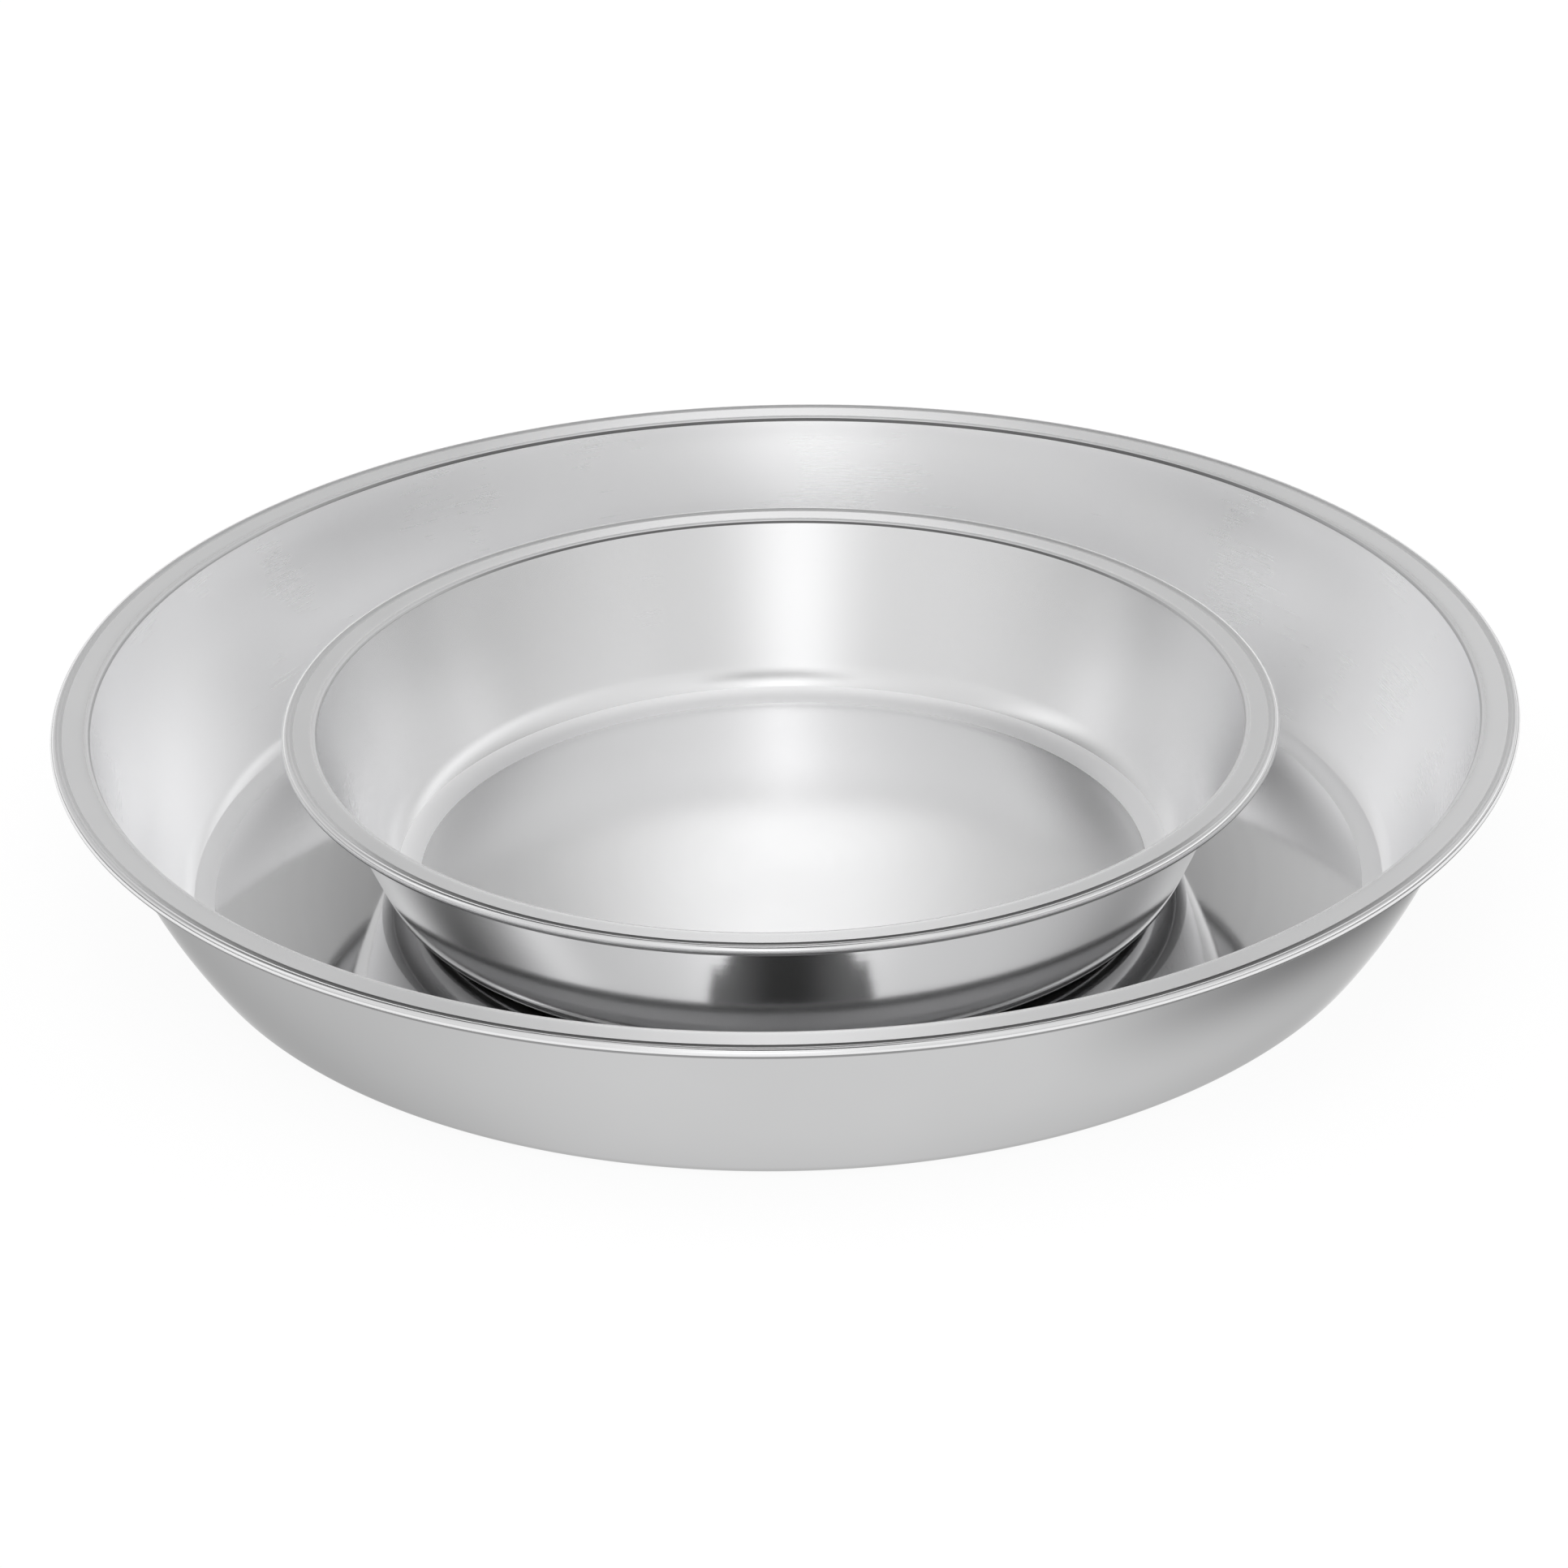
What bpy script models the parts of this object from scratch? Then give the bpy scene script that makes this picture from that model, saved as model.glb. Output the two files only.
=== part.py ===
"""A nested pair of round stainless-steel dishes: a small one standing loose in a large one.

Each dish is one disc of sheet steel, pressed and spun: a flat floor, a rounded corner, a
slightly bowed wall that leans outward, a crisp bend, a narrow level rim and an edge curled
under. Units are metres, +Z is up, and the origin is the middle of the large dish's base.
"""
import math

import bpy

SEGMENTS = 64              # facets around each dish

# Sheet and rim, the same on both dishes. Each radius is to the middle of the sheet.
SHEET = 0.0004             # thickness
GAP = 0.0003               # air between the two dishes where one stands on the other
BEND_RADIUS = 0.0007       # where the wall turns into the rim
NECK_RADIUS = 0.0006       # where the rim kicks up just before the curl
NECK_TURN = 30             # degrees of that kick
CURL_RADIUS = 0.00066
CURL_TURN = 275            # degrees that the edge is curled under, from the neck on

# Large dish.
LARGE_DIAMETER = 0.230     # over the curled edge
LARGE_HEIGHT = 0.0326      # from the base to the top of the curled edge
LARGE_RIM = 0.0060         # from the bend to the outer edge
LARGE_CORNER = 0.0064      # radius between floor and wall
LARGE_WALL_LOW = 55.5      # degrees from level where the wall leaves the corner
LARGE_WALL_HIGH = 78.0     # degrees from level where the wall meets the bend

# Small dish. It stands a little off the middle of the large one.
SMALL_DIAMETER = 0.1574
SMALL_HEIGHT = 0.0279
SMALL_RIM = 0.0054
SMALL_CORNER = 0.0080
SMALL_WALL_LOW = 66.0
SMALL_WALL_HIGH = 70.0
SMALL_OFFSET_X = -0.0007
SMALL_OFFSET_Y = 0.0005

# Polished stainless steel.
STEEL_COLOUR = (0.63, 0.63, 0.64, 1.0)
STEEL_ROUGHNESS = 0.15


def rise(start, end):
    """Height gained along an arc of radius 1 between two headings in degrees."""
    return math.cos(math.radians(start)) - math.cos(math.radians(end))


def reach(start, end):
    """Distance gained outward along an arc of radius 1 between two headings in degrees."""
    return math.sin(math.radians(end)) - math.sin(math.radians(start))


class SheetPath:
    """The middle of the sheet in section, walked outward from the axis in lines and arcs."""

    def __init__(self, height):
        self.r = 0.0
        self.z = height
        self.heading = 0.0
        self.points = [(self.r, self.z, self.heading)]

    def line(self, length):
        self.r += length * math.cos(self.heading)
        self.z += length * math.sin(self.heading)
        self.points.append((self.r, self.z, self.heading))

    def arc(self, radius, turn, steps):
        """Turn by so many degrees: positive bends the path upward, negative downward."""
        signed = math.copysign(radius, turn)
        centre_r = self.r - signed * math.sin(self.heading)
        centre_z = self.z + signed * math.cos(self.heading)
        for _ in range(steps):
            self.heading += math.radians(turn) / steps
            self.r = centre_r + signed * math.sin(self.heading)
            self.z = centre_z - signed * math.cos(self.heading)
            self.points.append((self.r, self.z, self.heading))


def sheet_path(diameter, height, rim, corner, wall_low, wall_high):
    """The sheet from the centre of the floor to the free end of the curled edge."""
    bend_top = height - SHEET - (NECK_RADIUS + CURL_RADIUS) * rise(0, NECK_TURN)
    wall_rise = bend_top - BEND_RADIUS * rise(0, wall_high) - corner * rise(0, wall_low)
    wall_radius = wall_rise / rise(wall_low, wall_high)
    wall_top = diameter / 2 - rim
    floor = wall_top - wall_radius * reach(wall_low, wall_high) - corner * reach(0, wall_low)
    bend_and_neck = BEND_RADIUS * reach(0, wall_high) + (NECK_RADIUS + CURL_RADIUS) * reach(0, NECK_TURN)
    rim_flat = rim - bend_and_neck - CURL_RADIUS - SHEET / 2

    path = SheetPath(SHEET / 2)
    path.line(floor)
    path.arc(corner, wall_low, steps=5)
    path.arc(wall_radius, wall_high - wall_low, steps=6)
    path.arc(BEND_RADIUS, -wall_high, steps=3)
    path.line(rim_flat)
    path.arc(NECK_RADIUS, NECK_TURN, steps=1)
    path.arc(CURL_RADIUS, -CURL_TURN, steps=9)
    return path.points


def skin(points, offset):
    """The path set off sideways, to its upper and inner side where offset is positive."""
    return [(r - offset * math.sin(a), 0.0, z + offset * math.cos(a)) for r, z, a in points]


def polished_steel(name):
    material = bpy.data.materials.new(name)
    material.use_nodes = True
    shader = material.node_tree.nodes["Principled BSDF"]
    shader.inputs["Base Color"].default_value = STEEL_COLOUR
    shader.inputs["Metallic"].default_value = 1.0
    shader.inputs["Roughness"].default_value = STEEL_ROUGHNESS
    return material


def dish(name, path, location):
    """Turn the two skins of a sheet path round the Z axis into one closed solid."""
    section = skin(path, SHEET / 2) + skin(path, -SHEET / 2)[::-1]
    mesh = bpy.data.meshes.new(name)
    edges = [(i, i + 1) for i in range(len(section) - 1)]
    mesh.from_pydata(section, edges, [])
    mesh.materials.append(polished_steel(name + "_steel"))

    body = bpy.data.objects.new(name, mesh)
    body.location = location
    bpy.context.scene.collection.objects.link(body)

    turned = body.modifiers.new("turned", "SCREW")
    turned.steps = SEGMENTS
    turned.render_steps = SEGMENTS
    turned.use_merge_vertices = True
    turned.merge_threshold = 0.000001
    turned.use_smooth_shade = True
    return body


def main():
    for old in list(bpy.data.objects):
        bpy.data.objects.remove(old, do_unlink=True)

    large = sheet_path(
        LARGE_DIAMETER, LARGE_HEIGHT, LARGE_RIM, LARGE_CORNER, LARGE_WALL_LOW, LARGE_WALL_HIGH
    )
    dish("large_pan", large, (0.0, 0.0, 0.0))

    small = sheet_path(
        SMALL_DIAMETER, SMALL_HEIGHT, SMALL_RIM, SMALL_CORNER, SMALL_WALL_LOW, SMALL_WALL_HIGH
    )
    dish("small_pan", small, (SMALL_OFFSET_X, SMALL_OFFSET_Y, SHEET + GAP))


main()
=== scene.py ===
"""Looks of the nested steel pans: fine spun shells, polished stainless steel, studio and camera."""
import math

import bpy
from mathutils import Matrix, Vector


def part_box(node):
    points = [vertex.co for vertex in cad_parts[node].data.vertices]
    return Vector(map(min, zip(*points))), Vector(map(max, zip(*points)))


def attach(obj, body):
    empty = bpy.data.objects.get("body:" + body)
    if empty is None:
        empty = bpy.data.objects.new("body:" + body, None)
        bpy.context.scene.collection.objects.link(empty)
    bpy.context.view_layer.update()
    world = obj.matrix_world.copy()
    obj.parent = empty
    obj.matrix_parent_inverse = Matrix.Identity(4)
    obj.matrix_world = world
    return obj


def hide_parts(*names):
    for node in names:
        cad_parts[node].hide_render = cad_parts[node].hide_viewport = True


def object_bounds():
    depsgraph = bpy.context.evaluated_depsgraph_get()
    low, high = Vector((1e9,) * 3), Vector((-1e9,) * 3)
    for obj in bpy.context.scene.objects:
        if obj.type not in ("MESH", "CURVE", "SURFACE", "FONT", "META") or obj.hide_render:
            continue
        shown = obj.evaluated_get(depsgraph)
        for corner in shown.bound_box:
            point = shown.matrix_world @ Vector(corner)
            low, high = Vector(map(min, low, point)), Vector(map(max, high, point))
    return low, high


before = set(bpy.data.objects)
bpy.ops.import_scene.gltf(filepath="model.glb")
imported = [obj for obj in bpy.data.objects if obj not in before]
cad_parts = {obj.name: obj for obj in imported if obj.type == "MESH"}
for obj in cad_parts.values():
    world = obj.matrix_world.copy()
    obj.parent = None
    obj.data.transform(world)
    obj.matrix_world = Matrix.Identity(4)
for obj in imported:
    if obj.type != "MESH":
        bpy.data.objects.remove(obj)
cad_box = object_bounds()

SEGMENTS = 288                 # facets around each pan
MM = 0.001

# The sheet and its rim, as in the CAD. Each radius is to the middle of the sheet.
SHEET = 0.4 * MM
BEND_RADIUS = 0.7 * MM         # wall to rim
BEND_END = 42                  # slope where the crease finish gives way to the rim's
NECK_RADIUS = 0.6 * MM         # the rim's small kick upward before the curl
NECK_TURN = 30
CURL_RADIUS = 0.66 * MM
CURL_TURN = 275
NECK_FOOT = 0.4 * MM           # the flat beside the neck that has the neck's finish
TUCK_START = 130               # how far round the curl its rough, tucked-under part begins, darkened with painted shade

# Section of each pan: rim width, radius between floor and wall, and the wall's slope in degrees
# from level at its foot and at its top. The satin band in the corner lies between two slopes.
SECTIONS = {
    "large_pan": {"rim": 6.0 * MM, "corner": 6.4 * MM, "wall_low": 55.5, "wall_high": 78.0,
                  "band_start": 1, "band_end": 32},
    "small_pan": {"rim": 5.4 * MM, "corner": 8.0 * MM, "wall_low": 66.0, "wall_high": 70.0,
                  "band_start": 8, "band_end": 36},
}

# Finishes: base colour, metallic (the rest is a pale satin haze), roughness and anisotropy.
FINISHES = {
    "large_floor": {"colour": 0.85, "metal": 0.97, "rough": 0.08, "aniso": 0.0},
    "small_floor": {"colour": 0.90, "metal": 0.88, "rough": 0.19, "aniso": 0.0},
    "corner": {"colour": 0.97, "metal": 0.70, "rough": 0.42, "aniso": 0.0},
    "large_wall": {"colour": 0.99, "metal": 0.90, "rough": 0.28, "aniso": 0.75},
    "small_wall": {"colour": 0.87, "metal": 0.95, "rough": 0.26, "aniso": 0.80},
    # bend, bend_top and neck are darker than the rim: painted shade in the creases.
    "bend": {"colour": 0.64, "metal": 0.9, "rough": 0.45, "aniso": 0.0},
    "bend_top": {"colour": 0.80, "metal": 0.9, "rough": 0.50, "aniso": 0.0},
    "rim": {"colour": 0.86, "metal": 0.9, "rough": 0.24, "aniso": 0.2},
    "neck": {"colour": 0.66, "metal": 0.9, "rough": 0.40, "aniso": 0.0},
    "bead": {"colour": 0.83, "metal": 0.9, "rough": 0.16, "aniso": 0.2},
    # tuck is darkened with painted shade under the curl.
    "tuck": {"colour": 0.30, "metal": 0.9, "rough": 0.40, "aniso": 0.0},
    "underside": {"colour": 0.90, "metal": 0.40, "rough": 0.40, "aniso": 0.2},
    "large_outside": {"colour": 0.63, "metal": 1.0, "rough": 0.06, "aniso": 0.3},
    "large_foot": {"colour": 0.63, "metal": 1.0, "rough": 0.06, "aniso": 0.3},
    "small_outside": {"colour": 0.80, "metal": 1.0, "rough": 0.06, "aniso": 0.3},
    # small_foot is darkened with painted shade: the small pan's low outside, down in the large pan.
    "small_foot": {"colour": 0.38, "metal": 1.0, "rough": 0.06, "aniso": 0.3},
}

# The creases beside the rim have painted shade, a darker tint over part of their turn: the middle of that
# part (azimuth from +Y towards +X), how far it reaches each way, and the darkest tint. It fades in around
# the cosine of that reach, from FADE_BEFORE below it to FADE_AFTER above it.
CREASE_PAINTED_SHADE = {"bend": (5.0, 52.0, 0.26), "neck": (180.0, 52.0, 0.12)}
FADE_BEFORE = 0.15
FADE_AFTER = 0.25

MARK_DEPTH = 0.0024 * MM       # relief of the turning marks
OUTSIDE_EDGE_TINT = 0.65       # tint of the large pan's outside at grazing angles

# The light tent. Azimuth in degrees from +Y (behind the pans) towards +X, so 180 is the camera's
# side; then elevation, half-width and half-height in degrees, and the brightness added there.
TENT_LEVEL = 0.82
SKY = {
    "front_strip": (-175, 26, 14, 44, 0.55),
    "left_box": (-85, 42, 11, 20, 0.6),
    "right_box": (70, 25, 48, 5, 1.0),
    "back_wall": (25, 12, 60, 4, 1.4),
    "back_strip": (0, 28, 2, 9, 2.2),
    "back_arch": (-5, 43, 30, 8, 1.7),
    "overhead_box": (180, 75, 35, 22, 0.75),
    "gap_behind": (-10, 50, 60, 17, -1.3),
    "gap_over_camera": (180, 47, 13, 6, -0.6),
    "gap_over_strip": (0, 33, 5, 14, -1.1),
    "left_gap": (-75, 5, 38, 8, -0.8),
    "right_gap": (60, 11, 64, 11, -1.0),
}
BACKDROP_LEVEL = 0.98          # the tent as the camera sees it directly

TABLE_HALF_WIDTH = 12.0
TABLE_GLOW = 0.86
SHADOW_CARD_RADIUS = 0.155
SHADOW_CARD_GLOW = 0.92

# The dark cloth above the front of the pans: half its width at places along Y.
FLAG_SIDES = [(-0.240, 0.049), (-0.205, 0.055), (-0.182, 0.064), (-0.168, 0.072), (-0.166, 0.080),
              (-0.140, 0.084), (-0.108, 0.088)]
FLAG_MIDDLE_X = 0.004
FLAG_HEIGHT = 0.300

# The camera: far off in front, in radii of the large pan's rim, and the lens that frames the pans.
CAMERA_PLACE = (-0.003, -6.50, 3.16)
CAMERA_TILT = 26.93            # degrees below level
CAMERA_ROLL = 1.21
CAMERA_LENS = 121.1


# ---------------------------------------------------------------- shapes

def rise(start, end):
    """Height gained along an arc of radius 1 between two headings in degrees."""
    return math.cos(math.radians(start)) - math.cos(math.radians(end))


def reach(start, end):
    """Distance gained outward along an arc of radius 1 between two headings in degrees."""
    return math.sin(math.radians(end)) - math.sin(math.radians(start))


class SheetPath:
    """The middle of the sheet in section: points (r, z, heading) and the zone of each step."""

    def __init__(self, height):
        self.r = 0.0
        self.z = height
        self.heading = 0.0
        self.points = [(self.r, self.z, self.heading)]
        self.zones = []

    def line(self, length, steps, zone):
        for _ in range(steps):
            self.r += length / steps * math.cos(self.heading)
            self.z += length / steps * math.sin(self.heading)
            self.points.append((self.r, self.z, self.heading))
            self.zones.append(zone)

    def arc(self, radius, turn, steps, zone):
        signed = math.copysign(radius, turn)
        centre_r = self.r - signed * math.sin(self.heading)
        centre_z = self.z + signed * math.cos(self.heading)
        for _ in range(steps):
            self.heading += math.radians(turn) / steps
            self.r = centre_r + signed * math.sin(self.heading)
            self.z = centre_z - signed * math.cos(self.heading)
            self.points.append((self.r, self.z, self.heading))
            self.zones.append(zone)


def sheet_path(radius, height, rim, corner, wall_low, wall_high, band_start, band_end):
    bend_top = height - SHEET - (NECK_RADIUS + CURL_RADIUS) * rise(0, NECK_TURN)
    wall_rise = bend_top - BEND_RADIUS * rise(0, wall_high) - corner * rise(0, wall_low)
    wall_radius = wall_rise / rise(wall_low, wall_high)
    floor = radius - rim - wall_radius * reach(wall_low, wall_high) - corner * reach(0, wall_low)
    bend_and_neck = BEND_RADIUS * reach(0, wall_high) + (NECK_RADIUS + CURL_RADIUS) * reach(0, NECK_TURN)
    rim_flat = rim - bend_and_neck - CURL_RADIUS - SHEET / 2

    path = SheetPath(SHEET / 2)
    path.line(floor, 12, "floor")
    path.arc(corner, band_start, 4, "floor")
    path.arc(corner, band_end - band_start, 8, "corner")
    path.arc(corner, wall_low - band_end, 10, "corner_top")
    path.arc(wall_radius, wall_high - wall_low, 24, "wall")
    path.arc(BEND_RADIUS, BEND_END - wall_high, 6, "bend")
    path.arc(BEND_RADIUS, -BEND_END, 4, "bend_top")
    path.line(rim_flat - NECK_FOOT, 4, "rim")
    path.line(NECK_FOOT, 2, "neck")
    path.arc(NECK_RADIUS, NECK_TURN, 4, "neck")
    path.arc(CURL_RADIUS, -NECK_TURN, 4, "neck")
    path.arc(CURL_RADIUS, NECK_TURN - TUCK_START, 14, "bead")
    path.arc(CURL_RADIUS, TUCK_START - CURL_TURN, 18, "tuck")
    return path


def shell(node):
    """A closed spun shell that fills the CAD node's box, with its own origin at its base."""
    low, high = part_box(node)
    centre = (low + high) / 2
    path = sheet_path((high.x - low.x) / 2, high.z - low.z, **SECTIONS[node])
    size = node.split("_")[0]
    inner_finish = {"floor": size + "_floor", "corner_top": size + "_wall", "wall": size + "_wall"}
    outer_finish = {"wall": size + "_outside", "corner_top": size + "_foot", "corner": size + "_foot",
                    "floor": size + "_foot",
                    "bend": "underside", "bend_top": "underside", "rim": "underside", "neck": "underside"}

    inner = [(r - SHEET / 2 * math.sin(a), z + SHEET / 2 * math.cos(a)) for r, z, a in path.points]
    outer = [(r + SHEET / 2 * math.sin(a), z - SHEET / 2 * math.cos(a)) for r, z, a in path.points]
    section = inner + outer[::-1]
    finish_of_step = [inner_finish.get(zone, zone) for zone in path.zones]
    finish_of_step += ["tuck"]
    finish_of_step += [outer_finish.get(zone, zone) for zone in path.zones][::-1]
    slots = sorted(set(finish_of_step))

    vertices = [(0.0, 0.0, section[0][1])]
    first_of_ring = [0]
    for r, z in section[1:-1]:
        first_of_ring.append(len(vertices))
        for i in range(SEGMENTS):
            turn = math.tau * i / SEGMENTS
            vertices.append((r * math.cos(turn), r * math.sin(turn), z))
    first_of_ring.append(len(vertices))
    vertices.append((0.0, 0.0, section[-1][1]))

    faces = []
    face_slots = []
    last = len(section) - 1
    for step in range(last):
        a, b = first_of_ring[step], first_of_ring[step + 1]
        for i in range(SEGMENTS):
            j = (i + 1) % SEGMENTS
            if step == 0:
                faces.append((a, b + i, b + j))
            elif step == last - 1:
                faces.append((a + i, b, a + j))
            else:
                faces.append((a + i, b + i, b + j, a + j))
            face_slots.append(slots.index(finish_of_step[step]))

    mesh = bpy.data.meshes.new(node + "_shell")
    mesh.from_pydata(vertices, [], faces)
    for name in slots:
        mesh.materials.append(steel(name))
    mesh.polygons.foreach_set("material_index", face_slots)
    mesh.shade_smooth()
    mesh.update()

    piece = bpy.data.objects.new(node + "_shell", mesh)
    piece.location = (centre.x, centre.y, low.z)
    bpy.context.scene.collection.objects.link(piece)
    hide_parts(node)
    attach(piece, node)
    return piece


# ---------------------------------------------------------------- materials

class Nodes:
    """Short calls for building a node tree."""

    def __init__(self, tree):
        self.tree = tree
        self.tree.nodes.clear()

    def add(self, kind, **settings):
        node = self.tree.nodes.new("ShaderNode" + kind)
        for key, value in settings.items():
            setattr(node, key, value)
        return node

    def plug(self, socket, value):
        if isinstance(value, bpy.types.NodeSocket):
            self.tree.links.new(value, socket)
        else:
            socket.default_value = value

    def math(self, operation, *values, clamp=False):
        node = self.add("Math", operation=operation, use_clamp=clamp)
        for socket, value in zip(node.inputs, values):
            self.plug(socket, value)
        return node.outputs[0]

    def ramp(self, value, low, high, to_low=0.0, to_high=1.0, smooth=True):
        """The value, moved from one range to another and held at its ends."""
        node = self.add("MapRange", interpolation_type="SMOOTHSTEP" if smooth else "LINEAR")
        ends = {"From Min": low, "From Max": high, "To Min": to_low, "To Max": to_high}
        self.plug(node.inputs["Value"], value)
        for name, end in ends.items():
            self.plug(node.inputs[name], end)
        return node.outputs[0]

    def noise(self, vector, scale, detail=2.0):
        node = self.add("TexNoise")
        self.plug(node.inputs["Vector"], vector)
        node.inputs["Scale"].default_value = scale
        node.inputs["Detail"].default_value = detail
        return node.outputs["Fac"]


def steel(name):
    """Polished stainless steel, turned in a lathe: brighter along its rings, with faint marks."""
    if name in bpy.data.materials:
        return bpy.data.materials[name]
    finish = FINISHES[name]
    material = bpy.data.materials.new(name)
    material.use_nodes = True
    n = Nodes(material.node_tree)
    place = n.add("TexCoord").outputs["Object"]
    axes = n.add("SeparateXYZ")
    n.plug(axes.inputs[0], place)
    x, y, z = axes.outputs
    radius = n.math("SQRT", n.math("ADD", n.math("MULTIPLY", x, x), n.math("MULTIPLY", y, y)))

    # Rings: noise that changes fast from the axis outward and up the wall, and slowly around it.
    ring_place = n.add("CombineXYZ")
    n.plug(ring_place.inputs[0], n.math("ADD", radius, n.math("MULTIPLY", z, 1.3)))
    n.plug(ring_place.inputs[1], n.math("MULTIPLY", x, 0.02))
    n.plug(ring_place.inputs[2], n.math("MULTIPLY", y, 0.02))
    fine_rings = n.noise(ring_place.outputs[0], 2600.0, 3.0)
    broad_rings = n.noise(ring_place.outputs[0], 420.0, 1.0)
    cloud = n.noise(place, 38.0, 3.0)

    shader = n.add("BsdfPrincipled")
    shader.inputs["Metallic"].default_value = finish["metal"]
    if name.startswith("large_") and name.endswith(("outside", "foot")):
        edge_tint = (OUTSIDE_EDGE_TINT, OUTSIDE_EDGE_TINT, OUTSIDE_EDGE_TINT, 1.0)
        shader.inputs["Specular Tint"].default_value = edge_tint
    grey = n.math("ADD", finish["colour"] - 0.02, n.math("MULTIPLY", cloud, 0.04))
    # Painted shade: the crease's colour darkens over part of its turn.
    if name in CREASE_PAINTED_SHADE:
        middle, half_turn, darkest = CREASE_PAINTED_SHADE[name]
        towards_x = n.math("MULTIPLY", x, math.sin(math.radians(middle)))
        towards_y = n.math("MULTIPLY", y, math.cos(math.radians(middle)))
        facing = n.math("DIVIDE", n.math("ADD", towards_x, towards_y), radius)
        edge = math.cos(math.radians(half_turn))
        tint = n.ramp(facing, edge - FADE_BEFORE, edge + FADE_AFTER, 1.0, darkest)
        grey = n.math("MULTIPLY", grey, tint)
    colour = n.add("CombineColor")
    n.plug(colour.inputs[0], grey)
    n.plug(colour.inputs[1], grey)
    n.plug(colour.inputs[2], n.math("MULTIPLY", grey, 1.006))
    n.plug(shader.inputs["Base Color"], colour.outputs[0])

    wear = n.math("ADD", n.math("MULTIPLY", fine_rings, 0.08), n.math("MULTIPLY", cloud, 0.20))
    rough = n.math("MULTIPLY", finish["rough"], n.math("ADD", 0.86, wear))
    n.plug(shader.inputs["Roughness"], rough)
    shader.inputs["Anisotropic"].default_value = finish["aniso"]
    shader.inputs["Anisotropic Rotation"].default_value = 0.25
    tangent = n.add("Tangent", direction_type="RADIAL", axis="Z")
    n.plug(shader.inputs["Tangent"], tangent.outputs[0])

    bump = n.add("Bump")
    bump.inputs["Strength"].default_value = 1.0
    bump.inputs["Distance"].default_value = MARK_DEPTH
    n.plug(bump.inputs["Height"], broad_rings)
    n.plug(shader.inputs["Normal"], bump.outputs[0])

    output = n.add("OutputMaterial")
    n.plug(output.inputs["Surface"], shader.outputs[0])
    return material


# ---------------------------------------------------------------- studio

def sky_level(n, direction):
    """Brightness of the tent in a direction: an even level with the soft lights and gaps of SKY."""
    axes = n.add("SeparateXYZ")
    n.plug(axes.inputs[0], direction)
    x, y, z = axes.outputs
    azimuth = n.math("DEGREES", n.math("ARCTAN2", x, y))
    elevation = n.math("DEGREES", n.math("ARCSINE", z))
    level = TENT_LEVEL
    for centre, height, half_width, half_height, strength in SKY.values():
        aside = n.math("WRAP", n.math("SUBTRACT", azimuth, centre), 180.0, -180.0)
        across = n.math("DIVIDE", aside, half_width)
        upward = n.math("DIVIDE", n.math("SUBTRACT", elevation, height), half_height)
        distance = n.math("ADD", n.math("MULTIPLY", across, across), n.math("MULTIPLY", upward, upward))
        falloff = n.math("EXPONENT", n.math("MULTIPLY", distance, -1.0))
        level = n.math("ADD", level, n.math("MULTIPLY", falloff, strength))
    return n.math("MAXIMUM", level, 0.01)


def studio_world():
    """A white tent around the table. Seen directly it is an even backdrop."""
    world = bpy.data.worlds.new("studio_tent")
    world.use_nodes = True
    n = Nodes(world.node_tree)
    level = sky_level(n, n.add("TexCoord").outputs["Generated"])
    seen = n.add("LightPath").outputs["Is Camera Ray"]
    mixed = n.add("Mix")
    n.plug(mixed.inputs["Factor"], seen)
    n.plug(mixed.inputs["A"], level)
    n.plug(mixed.inputs["B"], BACKDROP_LEVEL)
    background = n.add("Background")
    n.plug(background.inputs["Color"], (1.0, 1.0, 1.0, 1.0))
    n.plug(background.inputs["Strength"], mixed.outputs["Result"])
    output = n.add("OutputWorld")
    n.plug(output.inputs["Surface"], background.outputs[0])
    bpy.context.scene.world = world


def pale_table():
    """An even pale surface that takes only a faint shadow."""
    material = bpy.data.materials.new("pale_table")
    material.use_nodes = True
    inputs = material.node_tree.nodes["Principled BSDF"].inputs
    inputs["Base Color"].default_value = (0.2, 0.2, 0.2, 1.0)
    inputs["Roughness"].default_value = 0.9
    inputs["Specular IOR Level"].default_value = 0.0
    inputs["Emission Color"].default_value = (1.0, 1.0, 1.0, 1.0)
    inputs["Emission Strength"].default_value = TABLE_GLOW
    return material


def flag_cloth():
    """Black cloth with a faint painted glow, a little lighter towards its sides."""
    material = bpy.data.materials.new("black_cloth")
    material.use_nodes = True
    n = Nodes(material.node_tree)
    axes = n.add("SeparateXYZ")
    n.plug(axes.inputs[0], n.add("TexCoord").outputs["Object"])
    aside = n.math("ABSOLUTE", axes.outputs[0])
    glow = n.add("Emission")
    n.plug(glow.inputs["Strength"], n.ramp(aside, 0.010, 0.070, 0.02, 0.13))
    output = n.add("OutputMaterial")
    n.plug(output.inputs["Surface"], glow.outputs[0])
    return material


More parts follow.
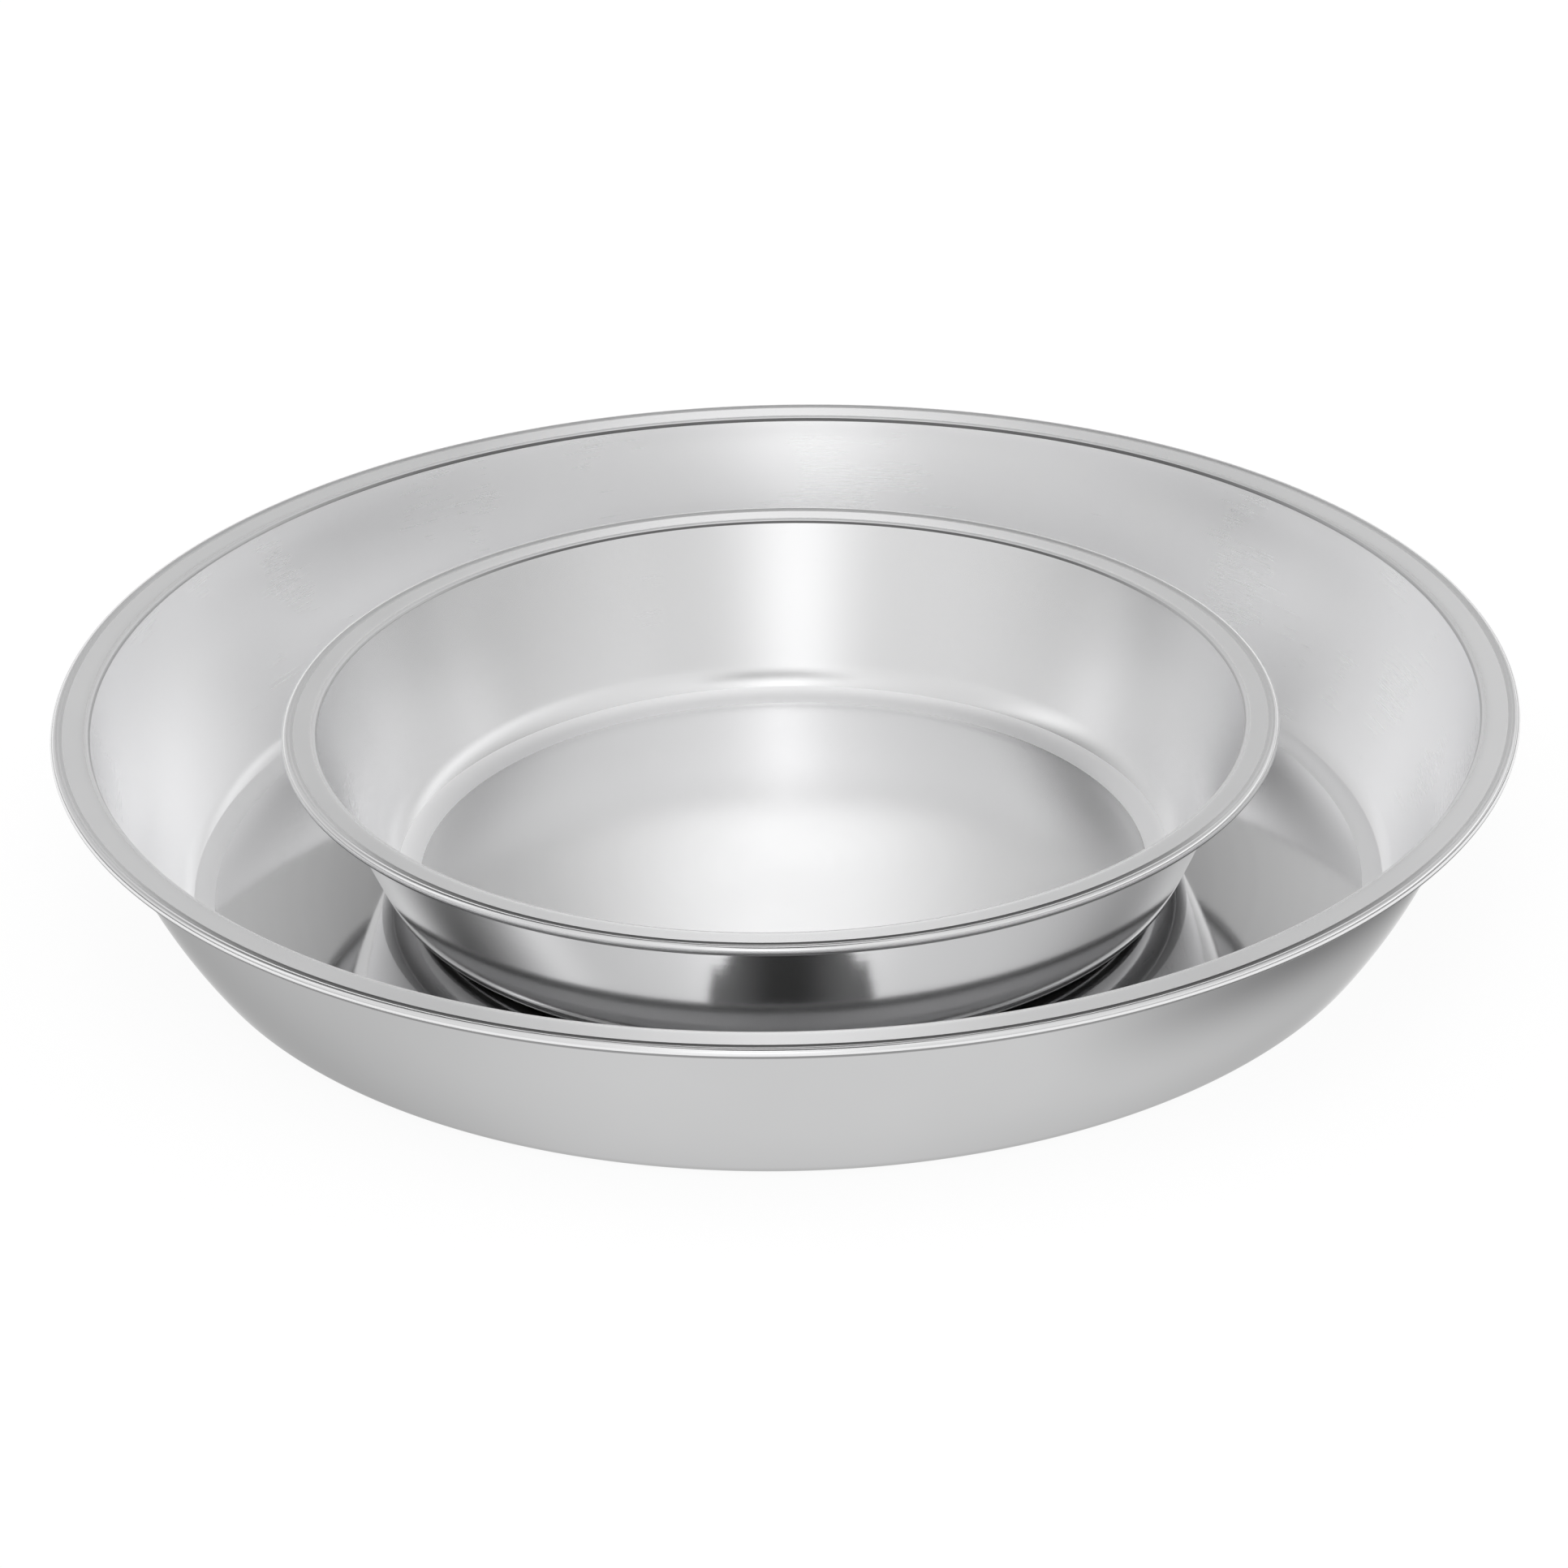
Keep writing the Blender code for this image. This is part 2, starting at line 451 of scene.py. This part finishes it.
def table_painted_shadow():
    """What the pans' outside sees of the table near them, with painted shade: duller on the left, and
    a painted shadow falling off fast on the right just beyond their rim."""
    material = bpy.data.materials.new("table_painted_shadow")
    material.use_nodes = True
    n = Nodes(material.node_tree)
    axes = n.add("SeparateXYZ")
    n.plug(axes.inputs[0], n.add("TexCoord").outputs["Object"])
    x, y, _ = axes.outputs
    radius = n.math("SQRT", n.math("ADD", n.math("MULTIPLY", x, x), n.math("MULTIPLY", y, y)))
    side = n.math("DIVIDE", x, n.math("MAXIMUM", radius, 0.001))
    # Painted shade: the glow is lower on the left and drops near the rim on the right, a painted shadow.
    painted_shade_left = n.ramp(side, -0.75, -0.25, 0.84, 1.0)
    dark = n.ramp(side, 0.35, 0.85, 0.0, 0.62)
    near_rim = n.math("MULTIPLY", n.ramp(radius, 0.100, 0.118), n.ramp(radius, 0.125, 0.150, 1.0, 0.0))
    fall = n.math("SUBTRACT", 1.0, n.math("MULTIPLY", dark, near_rim))
    glow = n.add("Emission")
    n.plug(glow.inputs["Strength"], n.math("MULTIPLY", n.math("MULTIPLY", painted_shade_left, fall), SHADOW_CARD_GLOW))
    output = n.add("OutputMaterial")
    n.plug(output.inputs["Surface"], glow.outputs[0])
    return material


def flat_card(name, outline, height, material):
    mesh = bpy.data.meshes.new(name)
    mesh.from_pydata([(x, y, height) for x, y in outline], [], [tuple(range(len(outline)))])
    mesh.materials.append(material)
    card = bpy.data.objects.new(name, mesh)
    bpy.context.scene.collection.objects.link(card)
    return card


def seen_in_reflections_only(card):
    card.visible_camera = False
    card.visible_diffuse = False
    card.visible_shadow = False


def studio():
    studio_world()
    low_z = cad_box[0].z
    half = TABLE_HALF_WIDTH
    corners = [(-half, -half), (half, -half), (half, half), (-half, half)]
    flat_card("table", corners, low_z - 0.05 * MM, pale_table())

    # A card seen only in reflections stands for the table near the pans; its glow carries a painted
    # shadow.
    turns = [math.tau * i / 96 for i in range(96)]
    disc = [(SHADOW_CARD_RADIUS * math.cos(turn), SHADOW_CARD_RADIUS * math.sin(turn)) for turn in turns]
    seen_in_reflections_only(flat_card("table_painted_shadow", disc, low_z - 0.03 * MM, table_painted_shadow()))

    # A dark flag above the front of the pans, wider towards them and with a step in its sides: it
    # is the dark patch that the small pan's outside shows.
    right = [(FLAG_MIDDLE_X + half_width, y) for y, half_width in FLAG_SIDES]
    left = [(FLAG_MIDDLE_X - half_width, y) for y, half_width in FLAG_SIDES]
    seen_in_reflections_only(flat_card("overhead_flag", right + left[::-1], FLAG_HEIGHT, flag_cloth()))

    bpy.context.scene.view_settings.view_transform = "Standard"


# ---------------------------------------------------------------- camera

def camera():
    """Looks down at the pans from the front, from far off, and rolled by about a degree."""
    rim_radius = (cad_box[1].x - cad_box[0].x) / 2
    rim_height = cad_box[1].z - CURL_RADIUS - SHEET / 2
    data = bpy.data.cameras.new("camera")
    data.sensor_width = 36.0
    data.lens = CAMERA_LENS
    eye = bpy.data.objects.new("camera", data)
    across, back, up = (rim_radius * place for place in CAMERA_PLACE)
    eye.location = (across, back, up + rim_height)
    turn = Matrix.Rotation(math.pi / 2 - math.radians(CAMERA_TILT), 4, "X")
    turn = turn @ Matrix.Rotation(-math.radians(CAMERA_ROLL), 4, "Z")
    eye.rotation_euler = turn.to_euler()
    bpy.context.scene.collection.objects.link(eye)
    bpy.context.scene.camera = eye


camera()
studio()
for node in SECTIONS:
    shell(node)
